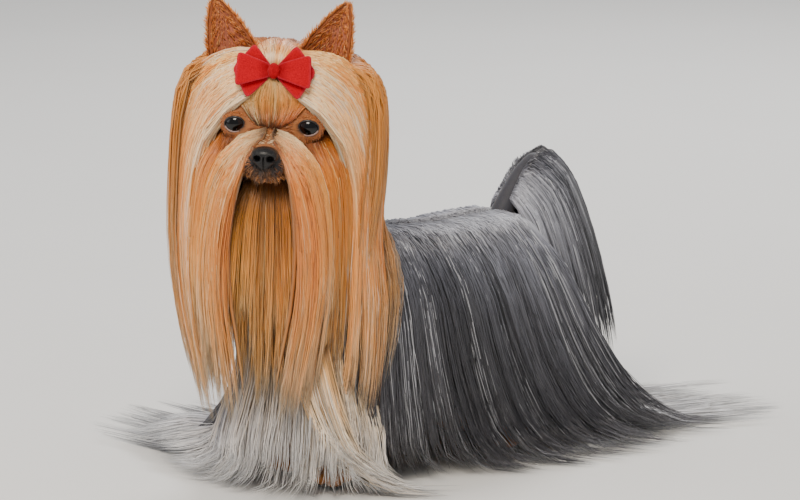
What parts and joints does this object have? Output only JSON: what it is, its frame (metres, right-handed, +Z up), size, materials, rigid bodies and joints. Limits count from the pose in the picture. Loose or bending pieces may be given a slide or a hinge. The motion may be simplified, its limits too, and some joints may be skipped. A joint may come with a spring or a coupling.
{
  "type": "yorkshire terrier, still life-size model",
  "caption": "Life-size still model of a small long-coated terrier, standing with its floor-length silky coat parted on the spine and a bow on its topknot.",
  "frame": {"origin": "middle of the footprint, on the floor", "axes": "+Z up, -Y along the body towards the chest, +X towards the dog's left side"},
  "size_m": [0.3058, 0.4226, 0.2866],
  "materials": {
    "tan_coat": "silky golden tan hair",
    "steel_coat": "silky dark steel blue hair",
    "ear_coat": "short trimmed deep tan hair",
    "nose_leather": "moist black leather",
    "eye": "wet dark brown",
    "bow_felt": "matt red felt ribbon"
  },
  "bodies": {
    "root": {"head": "tan_coat", "neck": "tan_coat", "nose": "nose_leather", "ear_left": "ear_coat", "ear_right": "ear_coat", "eye_left": "eye", "eye_right": "eye", "bow_knot": "bow_felt", "bow_front_left": "bow_felt", "bow_front_right": "bow_felt", "bow_back_left": "bow_felt", "bow_back_right": "bow_felt", "torso": "steel_coat", "tail": "steel_coat", "leg_front_left": "tan_coat", "leg_front_right": "tan_coat", "leg_rear_left": "tan_coat", "leg_rear_right": "tan_coat"}
  },
  "joints": []
}
